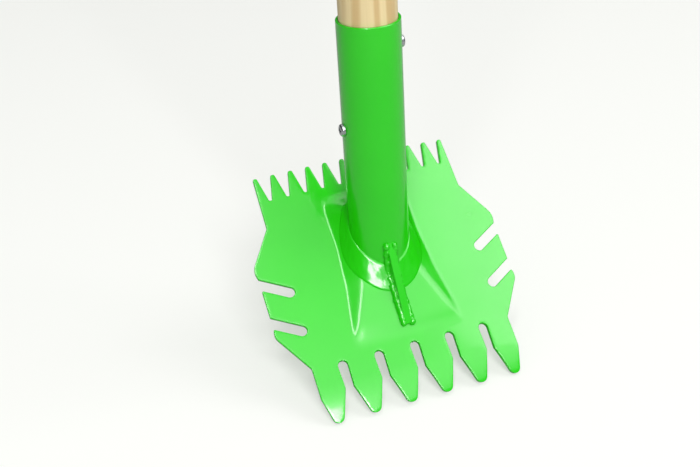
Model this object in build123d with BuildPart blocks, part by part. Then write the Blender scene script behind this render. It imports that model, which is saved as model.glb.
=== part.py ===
from build123d import *
import os
from math import cos, radians, sin, tan

# A long-handled garden tool: a pressed and punched steel head with a comb of small teeth behind,
# large teeth in front and barbs on both sides, under a slanting welded socket tube.
# Frame: origin in the middle of the socket's mouth, +Z up along the handle, +Y towards the
# small teeth, +X to the right. Millimetres.

# Handle and socket
handle_diameter = 31.75          # 1 1/4 inch ash or pine rod
handle_length = 1219             # 48 inches, with the end inside the socket
handle_end_round = 9
tube_diameter = 35
tube_wall = 1.5
tenon_clearance = 0.3            # between the turned-down end and the tube's bore
tenon_chamfer = 2
socket_length = 137              # along the axis, from the mouth to the plate's crown
tube_lean = 40                   # between the tube and the plate's normal
foot_gap = 6                     # from the handle's lower end to the highest point of the plate

# Sheet of the head: u across, v towards the small teeth, w square to the sheet
sheet = 2.7
crown_radius = 750               # across the head
tip_bend_start = -12             # v where the front teeth begin to curl down
tip_bend_radius = 105
axis_v = 61.75                   # where the tube's axis meets the crown

# Comb of small teeth behind
back_teeth = 12
back_pitch = 10.8
back_tip_v = 119
back_root_v = 103.5
back_tip_half = 1.2
back_root_half = 0.85
back_tip_round = 1.1
back_root_round = 0.8

# Large teeth in front
front_teeth = 6
front_pitch = 21.7
front_slot = 5.8
front_root_v = 0
front_corner_v = -15.5
front_corner_slot = 4.9
front_tip_v = -33
front_tip_half = 2.5
front_tip_round = 3.4

# Sides
waist_back = (61.3, 87)
shoulder = (76.2, 64)
shoulder_round = 9
barb_u = 74.6                    # tips of the barbs
barb_low = (75.5, 23)
barb_low_round = 6.5
waist_front = (60.8, 0)
cheek = (60.8, -18)              # outer corner of the outermost front tooth
outer_tip_u = 53.9
side_slot = 6
side_slot_angle = 30
side_slot_root_u = 59.6
side_slot_roots_v = (46.3, 22.6)
barb_upper_v = 58                # where the shoulder ends at the first slot
corner_round = 0.7

# Raised seat pressed up under the tube: v, half width at its foot, half width on top, height
seat_front = (6, 34, 31, 0.1)
seat_toe = (14, 32.6, 28.2, 1.5)
seat_throat = (40, 28, 17, 3.8)
seat_middle = (64, 25, 15.5, 6.2)
seat_end = (86, 25, 15, 8.2)
seat_back_run = 9.5

# Gusset and welds
gusset_thick = 4
gusset_toe_v = 10
gusset_toe_height = 2
gusset_top = 18                  # above the crown, on the front of the tube
weld_top = 9                     # height of the bead's upper edge over the crown
weld_low = -4
weld_spread = 10.5               # how far the bead's face has run out at weld_low
gusset_weld_leg = 3

# Screws
screw_head = 7
screw_head_height = 2.2
screw_shank = 3.6
screw_length = 16
screw_fit = 0.05
screw_recess = 1.1
screw_pilot_spare = 1
screw_cross = 0.9
lower_screw_up = 76              # from the crown, along the tube, on the left
upper_screw_up = 121             # the same, on the right

lean_cos = cos(radians(tube_lean))
lean_sin = sin(radians(tube_lean))
tube_radius = tube_diameter / 2
bore_radius = tube_radius - tube_wall
tenon_radius = bore_radius - tenon_clearance
tenon_length = socket_length - (seat_end[3] + bore_radius * lean_sin) / lean_cos - foot_gap
handle_top = handle_length - tenon_length
head_plane = Plane(
    origin=(0, -axis_v * lean_cos, -socket_length - axis_v * lean_sin),
    x_dir=(1, 0, 0),
    z_dir=(0, -lean_sin, lean_cos),
)
side_plane = Plane(origin=head_plane.origin, x_dir=head_plane.y_dir, z_dir=head_plane.x_dir)
crown_axis = Axis(origin=head_plane.from_local_coords((0, 0, -crown_radius)), direction=head_plane.y_dir)
block_depth = 60
os.makedirs("parts", exist_ok=True)


def save(built, name):
    built.part.label = name
    export_step(built.part, f"parts/{name}.step")


def crown_drop(u):
    """How far the sheet's top lies under its crown at u."""
    return crown_radius - (crown_radius**2 - u**2) ** 0.5


def seat_stations(drop=0):
    """The seat's cross-sections from front to back, for a surface drop under the top one."""
    last_v, foot, top, height = seat_end
    last_v -= drop * tan(radians(20))
    return (seat_front, seat_toe, seat_throat, seat_middle, (last_v, foot, top, height),
            (last_v + seat_back_run, foot, top, 0.1))


def seat_at(u, v):
    """Height of the sheet's top at (u, v)."""
    stations = seat_stations()
    for here, ahead in zip(stations, stations[1:]):
        if here[0] <= v <= ahead[0]:
            share = (v - here[0]) / (ahead[0] - here[0])
            foot, top, height = (p + share * (q - p) for p, q in zip(here[1:], ahead[1:]))
            if abs(u) < foot:
                base = -crown_drop(foot)
                return base + (height - base) * min(1, (foot - abs(u)) / (foot - top))
    return -crown_drop(u)


def pressed_block(drop):
    """A block whose upper face is the pressed face of the sheet, drop lower."""
    front_v = front_tip_v - 10
    back_v = back_tip_v + 10
    half_turn = 8
    with BuildPart() as block:
        with BuildSketch(side_plane):
            with BuildLine():
                flat = Line((back_v, -drop), (tip_bend_start, -drop))
                bend = TangentArc(flat @ 1, (front_v, -drop - (tip_bend_start - front_v) ** 2
                                             / (2 * tip_bend_radius)), tangent=flat % 1)
                Polyline(bend @ 1, (front_v, -block_depth), (back_v, -block_depth), flat @ 0)
            make_face()
        revolve(axis=crown_axis, revolution_arc=half_turn)
        mirror(about=side_plane)
        with BuildPart() as seat:
            for v, foot, top, height in seat_stations(drop):
                with BuildSketch(Plane(origin=head_plane.from_local_coords((0, v, -drop)),
                                       x_dir=head_plane.x_dir, z_dir=-head_plane.y_dir)):
                    with BuildLine():
                        Polyline((-foot, -block_depth / 2), (-foot, -crown_drop(foot)), (-top, height),
                                 (top, height), (foot, -crown_drop(foot)), (foot, -block_depth / 2),
                                 close=True)
                    make_face()
            loft(ruled=True)
        add(seat.part)
    return block.part


whole_block = pressed_block(0)
lower_block = pressed_block(sheet)

# Head: blank with its outline punched, then pressed to shape
with BuildPart() as head_plate:
    with BuildSketch(head_plane.offset(-block_depth / 2)):
        right = [
            (outer_tip_u := front_pitch * (front_teeth - 1) / 2 + front_tip_half, front_tip_v),
            cheek,
            waist_front,
            barb_low,
            (barb_u, barb_low[1] + 4.8),
            (barb_u, barb_upper_v),
            shoulder,
            waist_back,
            (back_pitch * (back_teeth - 1) / 2 + back_tip_half, back_tip_v),
        ]
        with BuildLine():
            Polyline(*right, *[(-u, v) for u, v in reversed(right)], close=True)
        make_face()
        gap_half = back_pitch / 2 - back_tip_half
        gap_slope = (gap_half - back_root_half) / (back_tip_v - back_root_v)
        with Locations((0, back_root_v)):
            with GridLocations(back_pitch, 1, back_teeth - 1, 1):
                Polygon((-back_root_half, 0), (back_root_half, 0),
                        (back_root_half + gap_slope * 20, 20), (-back_root_half - gap_slope * 20, 20),
                        align=None, mode=Mode.SUBTRACT)
        corner_depth = front_root_v - front_corner_v
        tip_depth = front_root_v - front_tip_v
        tip_gap = front_pitch / 2 - front_tip_half
        flank = (tip_gap - front_corner_slot / 2) / (tip_depth - corner_depth)
        with Locations((0, front_root_v)):
            with GridLocations(front_pitch, 1, front_teeth - 1, 1):
                Polygon((front_slot / 2, -front_slot / 2), (-front_slot / 2, -front_slot / 2),
                        (-front_corner_slot / 2, -corner_depth), (-tip_gap - flank * 4, -tip_depth - 4),
                        (tip_gap + flank * 4, -tip_depth - 4), (front_corner_slot / 2, -corner_depth),
                        align=None, mode=Mode.SUBTRACT)
                with Locations((0, -front_slot / 2)):
                    Circle(front_slot / 2, mode=Mode.SUBTRACT)
        for v in side_slot_roots_v:
            for side in (1, -1):
                with Locations(Location((side * side_slot_root_u, v, 0),
                                        (0, 0, side_slot_angle if side > 0 else 180 - side_slot_angle))):
                    Circle(side_slot / 2, mode=Mode.SUBTRACT)
                    Rectangle(40, side_slot, align=(Align.MIN, Align.CENTER), mode=Mode.SUBTRACT)
        corners = vertices()
        fillet([p for p in corners if abs(p.Y - back_tip_v) < 0.01], back_tip_round)
        fillet([p for p in corners if abs(p.Y - back_root_v) < 0.01], back_root_round)
        fillet([p for p in corners if abs(p.Y - front_tip_v) < 0.01], front_tip_round)
        for (u, v), radius in ((shoulder, shoulder_round), (barb_low, barb_low_round),
                               (waist_back, 1.5), (waist_front, 2), (cheek, 2)):
            fillet([p for p in corners if abs(abs(p.X) - u) < 0.01 and abs(p.Y - v) < 0.01], radius)
        fillet([p for p in corners if abs(abs(p.X) - barb_u) < 0.5
                and barb_low[1] + 1 < p.Y < barb_upper_v + 1], corner_round)
    extrude(amount=block_depth)
    add(whole_block, mode=Mode.INTERSECT)
    add(lower_block, mode=Mode.SUBTRACT)

tube_low = socket_length + (tube_radius * lean_sin + 4) / lean_cos
with BuildPart() as tube_rod:
    with Locations((0, 0, -tube_low)):
        Cylinder(tube_radius, tube_low, align=(Align.CENTER, Align.CENTER, Align.MIN))

# Handle, with its lower end turned down to enter the socket
with BuildPart() as wood_handle:
    Cylinder(handle_diameter / 2, handle_top, align=(Align.CENTER, Align.CENTER, Align.MIN))
    fillet(edges().group_by(Axis.Z)[-1], handle_end_round)
    with Locations((0, 0, -tenon_length)):
        Cylinder(tenon_radius, tenon_length, align=(Align.CENTER, Align.CENTER, Align.MIN))
    chamfer(edges().group_by(Axis.Z)[0], tenon_chamfer)
    for side, up in ((-1, lower_screw_up), (1, upper_screw_up)):
        with Locations(Plane(origin=(0, 0, up - socket_length), z_dir=(side, 0, 0))):
            with Locations((0, 0, tube_radius - screw_length - screw_pilot_spare)):
                Cylinder(screw_shank / 2 + screw_fit, tube_radius,
                         align=(Align.CENTER, Align.CENTER, Align.MIN), mode=Mode.SUBTRACT)

# Socket tube, cut to lie on the head
with BuildPart() as socket_tube:
    add(tube_rod.part)
    add(whole_block, mode=Mode.SUBTRACT)
    with Locations((0, 0, -tube_low - 1)):
        Cylinder(bore_radius, tube_low + 2, align=(Align.CENTER, Align.CENTER, Align.MIN),
                 mode=Mode.SUBTRACT)
    chamfer(edges().filter_by(GeomType.CIRCLE).group_by(Axis.Z)[-1], 0.3)
    for side, up in ((-1, lower_screw_up), (1, upper_screw_up)):
        with Locations(Plane(origin=(0, 0, up - socket_length), z_dir=(side, 0, 0))):
            with Locations((0, 0, tube_radius - 5)):
                Cylinder(screw_shank / 2 + screw_fit, 10,
                         align=(Align.CENTER, Align.CENTER, Align.MIN), mode=Mode.SUBTRACT)

# Two pan-head screws through the tube's wall into the wood
with BuildPart() as handle_screws:
    for side, up in ((-1, lower_screw_up), (1, upper_screw_up)):
        with Locations(Plane(origin=(side * tube_radius, 0, up - socket_length), z_dir=(side, 0, 0))):
            with BuildPart(mode=Mode.PRIVATE) as screw:
                Cylinder(screw_head / 2, screw_head_height, align=(Align.CENTER, Align.CENTER, Align.MIN))
                fillet(edges().group_by(Axis.Z)[-1], screw_head_height * 0.6)
                with Locations((0, 0, -screw_length)):
                    Cylinder(screw_shank / 2, screw_length, align=(Align.CENTER, Align.CENTER, Align.MIN))
                chamfer(edges().group_by(Axis.Z)[0], screw_shank * 0.35)
                with Locations((0, 0, screw_head_height)):
                    Box(screw_head * 0.55, screw_cross, 2 * screw_recess, mode=Mode.SUBTRACT)
                    Box(screw_cross, screw_head * 0.55, 2 * screw_recess, mode=Mode.SUBTRACT)
            add(screw.part)


def tube_front(w, into=0):
    """(v, w) of the tube's front line at height w, moved into the tube."""
    reach = tube_radius - into
    along = (w - reach * lean_sin) / lean_cos
    return (axis_v + along * lean_sin - reach * lean_cos, w)


foot_w = 0
for _ in range(30):
    foot_w = seat_at(0, tube_front(foot_w)[0])
toe_w = seat_at(0, gusset_toe_v) + gusset_toe_height

# Gusset on the centre line, between the head and the front of the tube
with BuildPart() as gusset:
    with BuildSketch(side_plane):
        with BuildLine():
            Polyline((gusset_toe_v, -5), (gusset_toe_v, toe_w), tube_front(gusset_top),
                     tube_front(gusset_top, 8), tube_front(foot_w - 5, 8), close=True)
        make_face()
    extrude(amount=gusset_thick / 2, both=True)
    add(whole_block, mode=Mode.SUBTRACT)
    add(tube_rod.part, mode=Mode.SUBTRACT)

# Weld beads down both sides of the gusset
gusset_welds = []
for side in (-1, 1):
    with BuildPart() as bead:
        with BuildSketch(side_plane.offset(side * gusset_thick / 2)):
            with BuildLine():
                leg = gusset_weld_leg
                toe_v = gusset_toe_v + 0.5
                Polyline((toe_v, -8), (toe_v, seat_at(0, toe_v) + leg * 0.5),
                         (seat_toe[0] + 4, seat_at(0, seat_toe[0] + 4) + leg),
                         tube_front(foot_w + leg * 1.4, -leg), tube_front(gusset_top - 2, -leg * 0.8),
                         tube_front(gusset_top, 8), tube_front(-8, 8), close=True)
            make_face()
        extrude(amount=side * leg * 0.8, taper=40)
        add(whole_block, mode=Mode.SUBTRACT)
        add(tube_rod.part, mode=Mode.SUBTRACT)
    gusset_welds.append(bead)

# Weld bead round the foot of the tube
with BuildPart() as socket_weld:
    for w, out in ((weld_low, weld_spread), (weld_top, 0.3)):
        with BuildSketch(Plane(origin=head_plane.from_local_coords((0, axis_v + w * lean_sin / lean_cos, w)),
                               x_dir=head_plane.x_dir, z_dir=head_plane.z_dir)):
            Ellipse(tube_radius + out, tube_radius / lean_cos + out)
    loft()
    add(tube_rod.part, mode=Mode.SUBTRACT)
    add(whole_block, mode=Mode.SUBTRACT)
    add(gusset.part, mode=Mode.SUBTRACT)
    for bead in gusset_welds:
        add(bead.part, mode=Mode.SUBTRACT)

save(head_plate, "head_plate")
save(socket_tube, "socket_tube")
save(socket_weld, "socket_weld")
save(gusset, "gusset")
save(gusset_welds[0], "gusset_weld_left")
save(gusset_welds[1], "gusset_weld_right")
save(wood_handle, "wood_handle")
save(handle_screws, "handle_screws")
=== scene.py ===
# %% [markdown]
# # A toothed garden head on a wooden pole
#
# The tool is a rake, a hoe and a weeder in one. Its head is a single sheet of steel, punched,
# pressed and coated in glossy green, with a comb behind, large teeth in front and barbs on both
# sides. A slanting tube is welded to it, and a pale wooden pole stands in the tube, held by two
# screws.
#
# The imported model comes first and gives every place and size. The tube, the rib, the pole and the
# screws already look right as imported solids, so they only get a material. The head and the weld
# beads are drawn again, because their soft bends and lumps don't show in a plain solid.

# %% Load the frame
import math

import bpy
import numpy as np
from mathutils import Matrix, Vector, kdtree
from mathutils.geometry import delaunay_2d_cdt
from mathutils.noise import noise as noise_at


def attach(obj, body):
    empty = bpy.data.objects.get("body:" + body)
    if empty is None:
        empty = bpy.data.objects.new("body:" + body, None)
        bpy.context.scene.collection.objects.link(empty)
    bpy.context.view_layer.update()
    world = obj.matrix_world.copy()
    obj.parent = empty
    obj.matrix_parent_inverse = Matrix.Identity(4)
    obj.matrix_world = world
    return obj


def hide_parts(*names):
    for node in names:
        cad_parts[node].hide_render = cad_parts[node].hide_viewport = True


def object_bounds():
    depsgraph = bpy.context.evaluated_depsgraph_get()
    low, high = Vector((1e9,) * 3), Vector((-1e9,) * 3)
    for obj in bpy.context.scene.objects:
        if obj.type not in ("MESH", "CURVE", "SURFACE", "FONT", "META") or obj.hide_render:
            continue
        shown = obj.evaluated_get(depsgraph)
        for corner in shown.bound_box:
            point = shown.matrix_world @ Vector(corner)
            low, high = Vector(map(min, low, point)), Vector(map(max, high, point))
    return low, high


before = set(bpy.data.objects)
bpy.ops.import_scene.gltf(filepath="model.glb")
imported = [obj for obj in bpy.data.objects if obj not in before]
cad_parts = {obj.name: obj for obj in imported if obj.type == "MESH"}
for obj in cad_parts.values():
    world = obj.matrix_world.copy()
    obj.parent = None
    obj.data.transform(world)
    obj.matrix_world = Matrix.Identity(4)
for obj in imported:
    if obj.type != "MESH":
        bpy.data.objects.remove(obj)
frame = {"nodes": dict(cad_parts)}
cad_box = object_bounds()
nodes = frame["nodes"]
scene = bpy.context.scene
print("packed pieces:", ", ".join(nodes))

# %% [markdown]
# ## Colours and nodes
#
# A hex colour is coded for screens, while Blender computes with linear light, so one function
# turns the one into the other. Node trees could be drawn by hand, but a script can repeat them.
# One function adds any node. Its settings are properties of the node or values of its inputs, and
# its links feed inputs from other nodes. Properties come first, because some of them decide which
# inputs the node has.


# %% Colours and nodes
def srgb(code):
    """A hex colour as linear red, green and blue, with full alpha."""
    values = [int(code[i:i + 2], 16) / 255 for i in (0, 2, 4)]
    linear = [v / 12.92 if v <= 0.04045 else ((v + 0.055) / 1.055) ** 2.4 for v in values]
    return (*linear, 1.0)


def add_node(tree, kind, settings=None, links=None):
    """Adds a node; an input goes by its name or, where two share a name, by its number."""
    node = tree.nodes.new(kind)
    for key, value in (settings or {}).items():
        if isinstance(key, int) or key in node.inputs:
            node.inputs[key].default_value = value
        else:
            setattr(node, key, value)
    for key, socket in (links or {}).items():
        tree.links.new(socket, node.inputs[key])
    return node


def new_material(name):
    """A material, its node tree and its Principled shader."""
    material = bpy.data.materials.new(name)
    material.use_nodes = True
    return material, material.node_tree, material.node_tree.nodes["Principled BSDF"]


# %% [markdown]
# ## Green powder coat
#
# The steel was dusted with polyester powder and baked, which melts the powder into a thick, opaque
# and glossy skin. To the eye that is a saturated colour under a sharp sheen, with a faint
# waviness called orange peel. It is a plastic, so it isn't metallic and keeps the default IOR.
# Half a clear coat gives the sheen, and slow changes of tone and gloss keep large faces from
# looking dead. The peel is far too shallow to model, so it is a bump. Over a weld the same coat
# lies rougher, which the second material gives.

# %% Green powder coat
# Patterns are counted per metre, because Object coordinates are in metres.
TONE_PER_METRE = 24          # patches of tone about 42 mm across
GLOSS_PER_METRE = 60         # patches of gloss about 17 mm across
PEEL_PER_METRE = 900         # orange peel about 1.1 mm from crest to crest
WELD_PER_METRE = 500         # lumps over a weld about 2 mm apart
PEEL_DEPTH, WELD_DEPTH = 0.00002, 0.0004
COAT_GLOSS = (0.2, 0.3)


def powder_coat(name, lumps, depth):
    """Green coat whose lumps per metre, and their depth in metres, set how evenly it lies."""
    material, tree, shader = new_material(name)
    place = add_node(tree, "ShaderNodeTexCoord").outputs["Object"]
    tone, gloss, peel = (
        add_node(tree, "ShaderNodeTexNoise", {"Scale": scale, "Detail": detail},
                 {"Vector": place}).outputs["Fac"]
        for scale, detail in ((TONE_PER_METRE, 3), (GLOSS_PER_METRE, 3), (lumps, 2)))
    colour = add_node(tree, "ShaderNodeMix",
                      {"data_type": "RGBA", "A": srgb("16BC00"), "B": srgb("22C806")}, {"Factor": tone})
    roughness = add_node(tree, "ShaderNodeMapRange",
                         {"To Min": COAT_GLOSS[0], "To Max": COAT_GLOSS[1]}, {"Value": gloss})
    surface = add_node(tree, "ShaderNodeBump", {"Strength": 1.0, "Distance": depth}, {"Height": peel})
    tree.links.new(colour.outputs["Result"], shader.inputs["Base Color"])
    tree.links.new(roughness.outputs["Result"], shader.inputs["Roughness"])
    tree.links.new(surface.outputs["Normal"], shader.inputs["Normal"])
    shader.inputs["Coat Weight"].default_value = 0.5
    shader.inputs["Coat Roughness"].default_value = 0.08
    return material


green = powder_coat("green powder coat", PEEL_PER_METRE, PEEL_DEPTH)
rough_green = powder_coat("green powder coat over weld", WELD_PER_METRE, WELD_DEPTH)
print("materials:", green.name, "and", rough_green.name)

# %% [markdown]
# ## Pale wood
#
# The pole is turned and sanded softwood under a thin lacquer. The eye sees long honey-coloured
# streaks, much longer than wide, and a satin sheen that follows the fibres. An image of wood would
# need wrapping round the pole, so the streaks are a wave pattern instead, and all its patterns are
# stretched along the pole by making their coordinates run slower in that direction.

# %% Pale wood
STREAKS_PER_METRE = 30       # in the wave pattern's own count: about 10 mm from streak to streak
STREAK_STRETCH = 0.05        # each streak is 20 times as long as it is wide
FIBRE_STRETCH = 0.02         # each fibre is 50 times as long
FIBRES_PER_METRE = 900       # real fibres are finer: these are drawn 1.1 mm wide so that they show
SHEEN_PER_METRE = 500
PORES_PER_METRE = 700
PORE_DEPTH = 0.0001


def pale_wood():
    """Turned softwood: pale and honey streaks along the pole, with fine fibres in them."""
    material, tree, shader = new_material("pale wood")
    place = add_node(tree, "ShaderNodeTexCoord").outputs["Object"]
    along, fibre = (
        add_node(tree, "ShaderNodeMapping", {"Scale": (1, 1, stretch)}, {"Vector": place}).outputs["Vector"]
        for stretch in (STREAK_STRETCH, FIBRE_STRETCH))
    rings = add_node(tree, "ShaderNodeTexWave",
                     {"bands_direction": "X", "Scale": STREAKS_PER_METRE, "Distortion": 9.0,
                      "Detail": 3.0, "Detail Scale": 1.5}, {"Vector": along})
    streaks = add_node(tree, "ShaderNodeValToRGB", None, {"Fac": rings.outputs["Fac"]})
    for element, code, spot in zip(streaks.color_ramp.elements, ("CDB07C", "E2CD9C"), (0.1, 0.7)):
        element.color = srgb(code)
        element.position = spot
    fine, sheen, pores = (
        add_node(tree, "ShaderNodeTexNoise", {"Scale": scale, "Detail": detail},
                 {"Vector": fibre}).outputs["Fac"]
        for scale, detail in ((FIBRES_PER_METRE, 4), (SHEEN_PER_METRE, 3), (PORES_PER_METRE, 3)))
    shade = add_node(tree, "ShaderNodeMapRange", {"To Min": 0.7, "To Max": 1.1}, {"Value": fine})
    colour = add_node(tree, "ShaderNodeMix",
                      {"data_type": "RGBA", "blend_type": "MULTIPLY", "Factor": 0.25},
                      {"A": streaks.outputs["Color"], "B": shade.outputs["Result"]})
    roughness = add_node(tree, "ShaderNodeMapRange", {"To Min": 0.4, "To Max": 0.6}, {"Value": sheen})
    surface = add_node(tree, "ShaderNodeBump", {"Strength": 1.0, "Distance": PORE_DEPTH},
                       {"Height": pores})
    tree.links.new(colour.outputs["Result"], shader.inputs["Base Color"])
    tree.links.new(roughness.outputs["Result"], shader.inputs["Roughness"])
    tree.links.new(surface.outputs["Normal"], shader.inputs["Normal"])
    return material


wood = pale_wood()
print("material:", wood.name)

# %% [markdown]
# ## Bright zinc
#
# The screws are steel with a thin electroplated layer of zinc, which gives a cool grey mirror,
# broken up by small crystals. It is a metal, so it is fully metallic and keeps the default IOR.
# Three fine patterns change its tone, its gloss and its surface.

# %% Bright zinc
MOTTLE_PER_METRE = 900       # mottle about 1.1 mm across
CRYSTAL_PER_METRE = 1500     # crystals about 0.7 mm across, coarser than real ones so that they show
GRAIN_PER_METRE = 2500
GRAIN_DEPTH = 0.00002


def bright_zinc():
    """Zinc-plated screw steel, with a faint bluish mottle."""
    material, tree, shader = new_material("bright zinc")
    place = add_node(tree, "ShaderNodeTexCoord").outputs["Object"]
    mottle, crystal, grain = (
        add_node(tree, "ShaderNodeTexNoise", {"Scale": scale, "Detail": 3},
                 {"Vector": place}).outputs["Fac"]
        for scale in (MOTTLE_PER_METRE, CRYSTAL_PER_METRE, GRAIN_PER_METRE))
    colour = add_node(tree, "ShaderNodeMix",
                      {"data_type": "RGBA", "A": srgb("A9AEB4"), "B": srgb("D6D8DA")},
                      {"Factor": mottle})
    roughness = add_node(tree, "ShaderNodeMapRange", {"To Min": 0.2, "To Max": 0.38}, {"Value": crystal})
    surface = add_node(tree, "ShaderNodeBump", {"Strength": 1.0, "Distance": GRAIN_DEPTH},
                       {"Height": grain})
    tree.links.new(colour.outputs["Result"], shader.inputs["Base Color"])
    tree.links.new(roughness.outputs["Result"], shader.inputs["Roughness"])
    tree.links.new(surface.outputs["Normal"], shader.inputs["Normal"])
    shader.inputs["Metallic"].default_value = 1.0
    return material


zinc = bright_zinc()
for name, node in nodes.items():
    node.data.materials.clear()
    node.data.materials.append({"wood_handle": wood, "handle_screws": zinc}.get(name, green))
print("dressed", len(nodes), "packed pieces")

# %% [markdown]
# ## The outline of the head
#
# The real head starts as a flat blank, punched from sheet, and is bent afterwards. It could be
# sculpted or cut with booleans, but working as the press does is simpler and exact: draw the
# outline flat, fill it, and only then lift each point to its pressed height. Flat places are in
# millimetres, u across and v towards the comb. Only the right half is listed, since the left one
# mirrors it, and each corner carries the radius that rounds it.

# %% Dimensions of the head
SHEET = 2.7
LEAN = math.radians(40)              # between the handle and the sheet's normal
AXIS_V, SOCKET = 61.75, 137          # where the handle's axis meets the head, and how far down
CROWN_RADIUS, TIP_BEND, TIP_BEND_RADIUS = 750, -12, 105
FRONT_PITCH, FRONT_SLOT, FRONT_WAIST, FRONT_TIP = 21.7, 2.9, 2.45, 2.5
COMB_PITCH, COMB_ROOT, COMB_GAP = 10.8, 0.85, 4.2
SIDE_SLOT_TURN = math.radians(30)
SIDE_SLOT_HALF, SIDE_SLOT_ROOT, BARB_TIP = 3, 59.6, 74.6


# %% Outline of the head
def front_corners():
    """The right half of the large teeth, as corners (u, v, radius) from the middle outwards."""
    corners = [(0, 0, 0)]
    for k in range(3):
        u = FRONT_PITCH * k
        corners += [(u + FRONT_SLOT, 0, FRONT_SLOT), (u + FRONT_WAIST, -15.5, 1.5),
                    (u + FRONT_PITCH / 2 - FRONT_TIP, -33, 3.4), (u + FRONT_PITCH / 2 + FRONT_TIP, -33, 3.4)]
        if k < 2:
            corners += [(u + FRONT_PITCH - FRONT_WAIST, -15.5, 1.5),
                        (u + FRONT_PITCH - FRONT_SLOT, 0, FRONT_SLOT)]
    return corners


def side_corners():
    """The right side, with its two slanting slots and the barbs that they leave."""
    corners = [(60.8, -18, 2), (60.8, 0, 2), (75.5, 23, 6.5)]
    along = Vector((math.cos(SIDE_SLOT_TURN), 0.5))
    across = Vector((-0.5, math.cos(SIDE_SLOT_TURN)))
    for root_v in (22.6, 46.3):
        for side in (-1, 1):
            wall = Vector((SIDE_SLOT_ROOT, root_v)) + SIDE_SLOT_HALF * side * across
            mouth = wall + along * (BARB_TIP - wall.x) / along.x
            end = wall - SIDE_SLOT_HALF * along
            pair = [(mouth.x, mouth.y, 0.7), (end.x, end.y, SIDE_SLOT_HALF)]
            corners += pair if side < 0 else pair[::-1]
    return corners + [(76.2, 64, 9), (61.3, 87, 1.5), (60.6, 119, 1.1)]


def comb_corners():
    """The right half of the comb, from the outside to the middle."""
    corners = []
    for k in range(5, -1, -1):
        u = COMB_PITCH * k
        corners += [(u + COMB_GAP, 119, 1.1), (u + COMB_ROOT, 103.5, 0.8)]
        if k:
            corners += [(u - COMB_ROOT, 103.5, 0.8), (u - COMB_GAP, 119, 1.1)]
    return corners


# %% Rounding the outline
OUTLINE_STEP = 0.7
ARC_STEP = 0.2               # radians
ARC_SHARE = 0.999            # arcs stay a little short, so that two never share a point
STRAIGHT = 1.57              # half angle past which a corner is a straight line


def rounded(corners, step):
    """The closed outline through corners, with their arcs and edges cut into short steps."""
    points = []
    count = len(corners)
    for i, (u, v, radius) in enumerate(corners):
        here = Vector((u, v))
        back = (Vector(corners[i - 1][:2]) - here).normalized()
        ahead = (Vector(corners[(i + 1) % count][:2]) - here).normalized()
        half = back.angle(ahead) / 2
        if radius == 0 or half > STRAIGHT:
            points.append(here)
            continue
        reach = radius * ARC_SHARE / math.tan(half)
        centre = here + (back + ahead).normalized() * radius * ARC_SHARE / math.sin(half)
        start = here + back * reach - centre
        sweep = (math.pi - 2 * half) * (1 if back.cross(ahead) < 0 else -1)
        parts = max(3, round(abs(sweep) / ARC_STEP))
        for k in range(parts + 1):
            points.append(centre + Matrix.Rotation(sweep * k / parts, 2) @ start)
    fine = []
    for i, here in enumerate(points):
        ahead = points[(i + 1) % len(points)]
        parts = max(1, round((ahead - here).length / step))
        fine += [here.lerp(ahead, k / parts) for k in range(parts)]
    return fine


half_outline = front_corners() + side_corners() + comb_corners()
mirrored = [(-u, v, r) for u, v, r in reversed(half_outline) if u]
outline = np.array([tuple(p) for p in rounded(half_outline + mirrored, OUTLINE_STEP)])
print("outline of the head:", len(outline), "points")

# %% [markdown]
# ## The pressed form
#
# Three bends shape the sheet: a wide crown across the head, a curl that dips the front tips, and a
# raised seat under the tube. Each one is a height over the flat blank, and the heights simply add
# up. A real press leaves no sharp creases, so the seat's edges use a ramp with a soft start and its
# profile is averaged over a few millimetres. The thickness is measured along the bent surface's
# own normal, so the sheet is equally thick on slopes.

# %% Pressed form
# v, half width at the foot, half width on top and height of the raised seat, from front to back
SEAT = np.array([(6, 34, 31, 0), (14, 32.6, 28.2, 1.5), (40, 28, 17, 3.8), (64, 25, 15.5, 6.2),
                 (86, 25, 15, 8.2), (95.5, 25, 15, 0)]).T
SEAT_SOFT_FOOT, SEAT_SOFT_TOP = 0.9, 3
SEAT_AVERAGE = (-2.4, -1.2, 0, 1.2, 2.4)


def ramp(x, soft):
    """x where it is positive, otherwise nothing, with a bend that is soft wide on both sides."""
    return np.where(x < -soft, 0, np.where(x > soft, x, (x + soft) ** 2 / (4 * soft)))


def seat_height(u, v):
    """Height of the raised seat under the socket."""
    total = 0
    for shift in SEAT_AVERAGE:
        foot, top, height = (np.interp(v + shift, SEAT[0], row) for row in SEAT[1:])
        side, run = foot - np.abs(u), foot - top
        total = total + height / run * (ramp(side, SEAT_SOFT_FOOT) - ramp(side - run, SEAT_SOFT_TOP))
    return total / len(SEAT_AVERAGE)


def pressed_height(u, v):
    """Height of the sheet's top over its crown."""
    crown = -CROWN_RADIUS + np.sqrt(CROWN_RADIUS ** 2 - u ** 2)
    return crown - ramp(TIP_BEND - v, 1) ** 2 / (2 * TIP_BEND_RADIUS) + seat_height(u, v)


def pressed(points, depth):
    """Points (u, v) of the sheet, depth under its top along its normal, in the shared frame."""
    u, v = points[:, 0], points[:, 1]
    nudge = 0.05
    w = pressed_height(u, v)
    slope_u = (pressed_height(u + nudge, v) - pressed_height(u - nudge, v)) / (2 * nudge)
    slope_v = (pressed_height(u, v + nudge) - pressed_height(u, v - nudge)) / (2 * nudge)
    normal = np.stack((-slope_u, -slope_v, np.ones_like(u)), 1)
    normal /= np.linalg.norm(normal, axis=1)[:, None]
    x, along, out = (np.stack((u, v, w), 1) - normal * np.asarray(depth)[:, None]).T
    along = along - AXIS_V
    y = along * math.cos(LEAN) - out * math.sin(LEAN)
    z = along * math.sin(LEAN) + out * math.cos(LEAN) - SOCKET
    return np.stack((x, y, z), 1) / 1000


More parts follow.
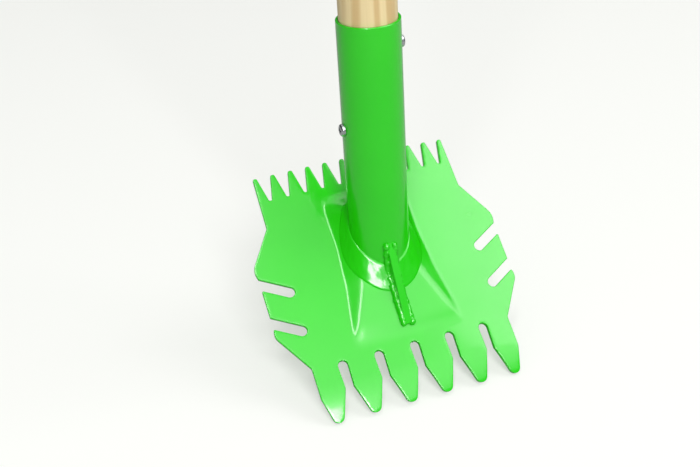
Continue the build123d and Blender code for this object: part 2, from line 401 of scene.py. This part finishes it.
middle = pressed_height(np.array([0.0]), np.array([86.0]))[0]
print("height of the seat at its back:", round(float(middle), 2), "mm")

# %% [markdown]
# ## The mesh of the head
#
# The blank is filled with triangles that keep to the outline and to an even grid inside it, which
# bends well. Punching and coating leave a small round on every edge, and that thin line of light is
# what makes sheet metal look real. So the edge isn't one wall: it is a stack of rings, which start a
# little inside the outline, swing out round the upper edge, and come back in under the lower one.

# %% Filling the blank
EDGE_ROUND = 0.45
EDGE_TURNS = (0, math.pi / 8, math.pi / 4, 3 * math.pi / 8, math.pi / 2)
GRID_STEP, GRID_CLEAR = 1.25, 0.6


def inward_normals(loop):
    """Unit vectors in the plane that point into the loop from each of its points."""
    ahead, behind = np.roll(loop, -1, 0) - loop, loop - np.roll(loop, 1, 0)
    tangent = ahead / np.linalg.norm(ahead, axis=1)[:, None]
    tangent = tangent + behind / np.linalg.norm(behind, axis=1)[:, None]
    tangent /= np.linalg.norm(tangent, axis=1)[:, None]
    return np.stack((-tangent[:, 1], tangent[:, 0]), 1)


def filled(loop):
    """Points and triangles that fill the loop, and the place of each of its points among them."""
    grid_u, grid_v = np.meshgrid(np.arange(-75, 75.1, GRID_STEP), np.arange(-32, 118.1, GRID_STEP))
    near = kdtree.KDTree(len(loop))
    for i, p in enumerate(loop):
        near.insert((p[0], p[1], 0), i)
    near.balance()
    grid = np.stack((grid_u.ravel(), grid_v.ravel()), 1)
    inside = [Vector(p) for p in grid if near.find((p[0], p[1], 0))[2] > GRID_CLEAR]
    coords = [Vector(p) for p in loop] + inside
    flat, _, faces, source, _, _ = delaunay_2d_cdt(coords, [], [list(range(len(loop)))], 1, 1e-5)
    order = {old: new for new, olds in enumerate(source) for old in olds}
    return np.array([tuple(p) for p in flat]), faces, order


# %% Mesh of the head
def head_mesh():
    """The two faces of the sheet, and the rings that join them round the edge."""
    inward = inward_normals(outline)
    flat, faces, order = filled(outline + inward * EDGE_ROUND)
    rings = [(EDGE_ROUND * (1 - math.sin(a)), EDGE_ROUND * (1 - math.cos(a))) for a in EDGE_TURNS]
    rings += [(inset, SHEET - depth) for inset, depth in reversed(rings)]
    count = len(outline)
    levels = [pressed(flat, np.zeros(len(flat)))]
    for inset, depth in rings[1:-1]:
        levels.append(pressed(outline + inward * inset, np.full(count, depth)))
    levels.append(pressed(flat, np.full(len(flat), SHEET)))
    last = len(levels) - 1
    starts = np.cumsum([0] + [len(level) for level in levels])
    polygons = [tuple(f) for f in faces]
    polygons += [tuple(starts[last] + i for i in reversed(f)) for f in faces]

    def index(ring, i):
        i %= count
        return int(starts[ring]) + (order[i] if ring in (0, last) else i)

    for ring in range(last):
        for i in range(count):
            polygons.append((index(ring, i), index(ring + 1, i), index(ring + 1, i + 1), index(ring, i + 1)))
    mesh = bpy.data.meshes.new("pressed_head")
    mesh.from_pydata(np.concatenate(levels).tolist(), [], polygons)
    mesh.shade_smooth()
    mesh.materials.append(green)
    return mesh


head = bpy.data.objects.new("pressed_head", head_mesh())
scene.collection.objects.link(head)
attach(head, "root")
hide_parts("head_plate")
print("head:", len(head.data.vertices), "points,", len(head.data.polygons), "faces")

# %% [markdown]
# ## The bead round the socket
#
# A welder ran one bead round the foot of the tube, and the coat smoothed it into a hollow slope
# with a few lumps. It follows two surfaces at once, the upright tube and the bent sheet, so a swept
# profile would leave gaps. Here a cross-section is worked out at each angle instead: it starts on
# the tube and runs down to where the sheet really is. Its underside is sunk into the metal.

# %% Bead round the socket
TUBE_RADIUS = 17.5
BEAD_TURNS, BEAD_STEPS = 180, 9
BEAD_LEG, BEAD_LEG_CHANGE = 6.2, 2.4         # run out over the sheet, longer in front
BEAD_CLIMB, BEAD_CLIMB_CHANGE = 4.6, 1.2     # height on the tube, likewise
BEAD_SUNK_TUBE, BEAD_SUNK_SHEET = 0.7, 0.5
LUMP_SIZE = 3.2


def sheet_under(turn, radius):
    """z in millimetres of the sheet's top, radius from the handle's axis and turn from the right."""
    x, y = radius * math.cos(turn), radius * math.sin(turn)
    rise = 0.0
    for _ in range(50):
        v = AXIS_V + y * math.cos(LEAN) + rise * math.sin(LEAN)
        w = float(pressed_height(np.array([x]), np.array([v]))[0])
        rise = (rise + (w + y * math.sin(LEAN)) / math.cos(LEAN)) / 2
    return rise - SOCKET


def bead_section(turn):
    """The bead's cross-section at one angle, as (radius, z), closed through the metal."""
    leg = BEAD_LEG - BEAD_LEG_CHANGE * math.sin(turn)
    climb = BEAD_CLIMB - BEAD_CLIMB_CHANGE * math.sin(turn)
    section = []
    for j in range(BEAD_STEPS):
        share = j / (BEAD_STEPS - 1)
        radius = TUBE_RADIUS + leg * share
        lift = climb * (1 - share) ** 1.25 + 0.15 * math.sin(math.pi * share)
        place = Vector((radius * math.cos(turn), radius * math.sin(turn), lift)) / LUMP_SIZE
        fade = math.sin(math.pi * min(share * 1.15, 1))
        lump = (0.55 * noise_at(place) + 0.3 * noise_at(place * 2.3)) * fade
        section.append((radius, sheet_under(turn, radius) + lift + lump))
    section.append((TUBE_RADIUS + leg, section[-1][1] - BEAD_SUNK_SHEET))
    section.append((TUBE_RADIUS - BEAD_SUNK_TUBE, sheet_under(turn, TUBE_RADIUS) - BEAD_SUNK_SHEET))
    section.append((TUBE_RADIUS - BEAD_SUNK_TUBE, section[0][1]))
    return [(r * math.cos(turn) / 1000, r * math.sin(turn) / 1000, z / 1000) for r, z in section]


def socket_bead():
    """The closed ring of cross-sections round the tube."""
    vertices, faces = [], []
    for k in range(BEAD_TURNS):
        vertices += bead_section(2 * math.pi * k / BEAD_TURNS)
    rows = len(vertices) // BEAD_TURNS
    for k in range(BEAD_TURNS):
        here, ahead = k * rows, (k + 1) % BEAD_TURNS * rows
        for j in range(rows):
            below = (j + 1) % rows
            faces.append((here + j, here + below, ahead + below, ahead + j))
    mesh = bpy.data.meshes.new("socket_bead")
    mesh.from_pydata(vertices, [], faces)
    mesh.shade_smooth()
    mesh.materials.append(green)
    piece = bpy.data.objects.new("socket_bead", mesh)
    scene.collection.objects.link(piece)
    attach(piece, "root")
    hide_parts("socket_weld")
    return piece


print("socket bead:", len(socket_bead().data.polygons), "faces")

# %% [markdown]
# ## The beads beside the rib
#
# These two short beads were run quickly and kept the rippled look of a row of overlapping drops.
# That is a rule, so Geometry Nodes make it: drops are set along a line, each a little different in
# size and place, and melted together by way of a volume. The sizes and the seeds are inputs of the
# tree, so that both beads share it and come out the same on every run.

# %% Drops along a line
BEAD_INPUTS = {"Drop radius": "Float", "Spacing": "Float", "Grid": "Float", "Wander low": "Vector",
               "Wander high": "Vector", "Size seed": "Int", "Place seed": "Int"}
DROP_SIZES = (0.82, 1.1)
MELT_THRESHOLD = 0.1


def bead_tree():
    """A node tree that sets drops along a curve and melts them together."""
    tree = bpy.data.node_groups.new("weld drops", "GeometryNodeTree")
    tree.interface.new_socket("Line", in_out="INPUT", socket_type="NodeSocketGeometry")
    for name, kind in BEAD_INPUTS.items():
        tree.interface.new_socket(name, in_out="INPUT", socket_type="NodeSocket" + kind)
    tree.interface.new_socket("Bead", in_out="OUTPUT", socket_type="NodeSocketGeometry")
    given = add_node(tree, "NodeGroupInput").outputs
    spaced = add_node(tree, "GeometryNodeResampleCurve", {"mode": "LENGTH"},
                      {"Curve": given["Line"], "Length": given["Spacing"]})
    drop = add_node(tree, "GeometryNodeMeshIcoSphere", {"Subdivisions": 3},
                    {"Radius": given["Drop radius"]})
    size = add_node(tree, "FunctionNodeRandomValue",
                    {"data_type": "FLOAT", 2: DROP_SIZES[0], 3: DROP_SIZES[1]},
                    {"Seed": given["Size seed"]})
    wander = add_node(tree, "FunctionNodeRandomValue", {"data_type": "FLOAT_VECTOR"},
                      {0: given["Wander low"], 1: given["Wander high"], "Seed": given["Place seed"]})
    moved = add_node(tree, "GeometryNodeSetPosition", None,
                     {"Geometry": spaced.outputs["Curve"], "Offset": wander.outputs[0]})
    drops = add_node(tree, "GeometryNodeInstanceOnPoints", None,
                     {"Points": moved.outputs["Geometry"], "Instance": drop.outputs["Mesh"],
                      "Scale": size.outputs[1]})
    real = add_node(tree, "GeometryNodeRealizeInstances", None, {"Geometry": drops.outputs["Instances"]})
    volume = add_node(tree, "GeometryNodeMeshToVolume", {"resolution_mode": "VOXEL_SIZE"},
                      {"Mesh": real.outputs["Geometry"], "Voxel Size": given["Grid"]})
    melted = add_node(tree, "GeometryNodeVolumeToMesh",
                      {"resolution_mode": "VOXEL_SIZE", "Threshold": MELT_THRESHOLD},
                      {"Volume": volume.outputs["Volume"], "Voxel Size": given["Grid"]})
    smooth = add_node(tree, "GeometryNodeSetShadeSmooth", None, {"Geometry": melted.outputs["Mesh"]})
    coat = add_node(tree, "GeometryNodeSetMaterial", {"Material": rough_green},
                    {"Geometry": smooth.outputs["Geometry"]})
    add_node(tree, "NodeGroupOutput", None, {0: coat.outputs["Geometry"]})
    return tree


drops_along = bead_tree()
print("inputs of the bead's tree:", ", ".join(BEAD_INPUTS))


# %% One bead
def weld(name, points, size, seed, replaced):
    """A rippled weld bead of radius size, in metres, along points."""
    curve = bpy.data.curves.new(name + "_line", "CURVE")
    curve.dimensions = "3D"
    spline = curve.splines.new("POLY")
    spline.points.add(len(points) - 1)
    for item, point in zip(spline.points, points):
        item.co = (*point, 1)
    line = bpy.data.objects.new(name + "_line", curve)
    scene.collection.objects.link(line)
    modifier = line.modifiers.new("drops", "NODES")
    modifier.node_group = drops_along
    given = {"Drop radius": size, "Spacing": size * 0.75, "Grid": size / 7,
             "Wander low": (-0.12 * size,) * 3, "Wander high": (0.12 * size,) * 3,
             "Size seed": seed, "Place seed": seed + 1}
    for socket in drops_along.interface.items_tree:
        if socket.name in given:
            modifier[socket.identifier] = given[socket.name]
    bpy.context.view_layer.update()
    mesh = bpy.data.meshes.new_from_object(line.evaluated_get(bpy.context.evaluated_depsgraph_get()))
    bpy.data.objects.remove(line)
    piece = bpy.data.objects.new(name, mesh)
    scene.collection.objects.link(piece)
    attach(piece, "root")
    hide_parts(replaced)
    return piece


# %% Beads beside the rib
RIB_BEAD_RADIUS, RIB_BEAD_SEED = 0.0022, 11
RIB_BEAD_SIDE, RIB_BEAD_LIFT = 2.5, 0.8      # millimetres from the rib's middle, and off the metal


def on_head(u, v, w):
    """A point u, v, w of the head in the shared frame, in metres."""
    v = v - AXIS_V
    y = v * math.cos(LEAN) - w * math.sin(LEAN)
    z = v * math.sin(LEAN) + w * math.cos(LEAN) - SOCKET
    return Vector((u, y, z)) / 1000


for side, name in ((-1, "gusset_weld_left"), (1, "gusset_weld_right")):
    run = [on_head(side * RIB_BEAD_SIDE, v,
                   float(pressed_height(np.array([0.0]), np.array([v]))[0]) + RIB_BEAD_LIFT)
           for v in np.linspace(11, 40, 16)]
    climb = [on_head(side * RIB_BEAD_SIDE, AXIS_V + (w - TUBE_RADIUS * math.sin(LEAN)) * math.tan(LEAN)
                     - (TUBE_RADIUS + RIB_BEAD_LIFT) * math.cos(LEAN), w) for w in np.linspace(6, 17, 8)]
    bead = weld(name.replace("weld", "bead"), run + climb, RIB_BEAD_RADIUS, RIB_BEAD_SEED + side, name)
    print(bead.name + ":", len(bead.data.polygons), "faces")

# %% [markdown]
# ## The floor
#
# A sheet of pale paper lies under the tool. To look white without more light on the tool, it adds
# a little glow that only the camera sees. Half of its brightness still comes from the lamps, so the
# tool's soft shadow stays.

# %% Floor
FLOOR_GLOW = 0.5

bpy.ops.mesh.primitive_plane_add(size=14, location=(0, 0, cad_box[0][2]))
floor = bpy.context.object
floor.name = "floor"
paper, paper_tree, paper_shader = new_material("white paper")
seen = add_node(paper_tree, "ShaderNodeLightPath").outputs["Is Camera Ray"]
glow = add_node(paper_tree, "ShaderNodeMath", {"operation": "MULTIPLY", 1: FLOOR_GLOW}, {0: seen})
paper_tree.links.new(glow.outputs[0], paper_shader.inputs["Emission Strength"])
paper_shader.inputs["Emission Color"].default_value = srgb("FCFDF9")
paper_shader.inputs["Base Color"].default_value = srgb("B4B5B2")
paper_shader.inputs["Roughness"].default_value = 0.9
paper_shader.inputs["Specular IOR Level"].default_value = 0.1
floor.data.materials.append(paper)
print("floor at z =", round(cad_box[0][2], 4), "m")

# %% [markdown]
# ## The light
#
# Three softboxes stand round the head: a large one in front as the key, a wide one on the right to
# open up the tube's far side, and a slim one on the left that leaves a line of light down the
# tube. Large lamps give soft shadows. Each is placed by the direction in which the head sees it.

# %% Light
HEAD = Vector((0, 0, -0.15))
SOFTBOXES = {      # direction from the head, distance and size in metres, power in watts
    "key": ((-0.08, -0.8, 0.6), 3.2, (1.0, 1.0), 67),
    "right": ((0.62, -0.25, 0.72), 3.0, (1.5, 1.5), 22),
    "left": ((-0.22, -0.35, 0.9), 3.0, (0.26, 1.1), 15),
}

for name, (way, distance, size, power) in SOFTBOXES.items():
    lamp = bpy.data.lights.new(name, "AREA")
    lamp.shape = "RECTANGLE"
    lamp.size, lamp.size_y = size
    lamp.energy = power
    softbox = bpy.data.objects.new(name, lamp)
    softbox.location = HEAD + Vector(way).normalized() * distance
    softbox.rotation_euler = (HEAD - softbox.location).to_track_quat("-Z", "Y").to_euler()
    scene.collection.objects.link(softbox)
print("softboxes:", ", ".join(SOFTBOXES))

# %% [markdown]
# ## The surroundings
#
# A glossy coat looks like what it reflects, so the world has two jobs. Matt surfaces get an even,
# plain light from it. Reflections see a studio ceiling instead, which is brightest towards the
# front right and fades to the left, on the far right and near the horizon. That ceiling is only
# an idea of a room. It is brighter than the even light, so glossy faces look brighter than they
# would under that light alone.

# %% Surroundings
PLAIN_LIGHT = 0.42
CEILING = (      # how it joins what is above, axis, start and end of the change, value before and after
    ("ADD", "X", 0.1, 0.5, 1.3, 1.45),
    ("ADD", "Y", -0.36, -0.52, 0.0, 1.2),
    ("MULTIPLY", "Z", 0.5, 0.66, 0.06, 1.0),
    ("MULTIPLY", "X", -0.32, -0.1, 0.1, 1.0),
    ("MULTIPLY", "X", 0.66, 0.8, 1.0, 0.15),
)

world = bpy.data.worlds.new("studio")
world.use_nodes = True
sky = world.node_tree
way = add_node(sky, "ShaderNodeSeparateXYZ", None,
               {"Vector": add_node(sky, "ShaderNodeTexCoord").outputs["Generated"]})
ceiling = None
for joins, axis, start, end, before, after in CEILING:
    fade = add_node(sky, "ShaderNodeMapRange",
                    {"interpolation_type": "SMOOTHSTEP", "From Min": start, "From Max": end,
                     "To Min": before, "To Max": after}, {"Value": way.outputs[axis]}).outputs["Result"]
    ceiling = fade if ceiling is None else add_node(
        sky, "ShaderNodeMath", {"operation": joins}, {0: ceiling, 1: fade}).outputs[0]
reflected = add_node(sky, "ShaderNodeLightPath").outputs["Is Glossy Ray"]
strength = add_node(sky, "ShaderNodeMix", {"data_type": "FLOAT", "A": PLAIN_LIGHT},
                    {"Factor": reflected, "B": ceiling})
sky.links.new(strength.outputs["Result"], sky.nodes["Background"].inputs["Strength"])
sky.nodes["Background"].inputs["Color"].default_value = srgb("FFFFFF")
scene.world = world
print("ceiling made of", len(CEILING), "fades")

# %% [markdown]
# ## The camera
#
# The camera looks down on the head from the front left, and is turned a little about its view. A
# rotation can be given by three angles, but three directions are easier to check: where its right
# side, its top and its view point. They are the columns of its matrix, with the view reversed,
# because a camera looks along its own -Z.

# %% Camera
CAMERA_PLACE = (-0.20011, -0.53474, 0.19358)
CAMERA_RIGHT = Vector((0.93419, -0.3523, -0.05636))
CAMERA_UP = Vector((0.21997, 0.44436, 0.86842))
CAMERA_VIEW = Vector((0.2809, 0.82367, -0.49261))

lens = bpy.data.cameras.new("camera")
lens.sensor_fit = "HORIZONTAL"
lens.sensor_width = 36
lens.lens = 57.93
lens.clip_end = 20
camera = bpy.data.objects.new("camera", lens)
turned = Matrix((CAMERA_RIGHT, CAMERA_UP, -CAMERA_VIEW)).transposed().to_4x4()
turned.translation = CAMERA_PLACE
camera.matrix_world = turned
scene.collection.objects.link(camera)
scene.camera = camera
print("camera", round((camera.location - HEAD).length, 2), "m from the head")

# %% [markdown]
# ## Finish
#
# The Standard view shows colours as they were written.

# %% View
scene.view_settings.view_transform = "Standard"
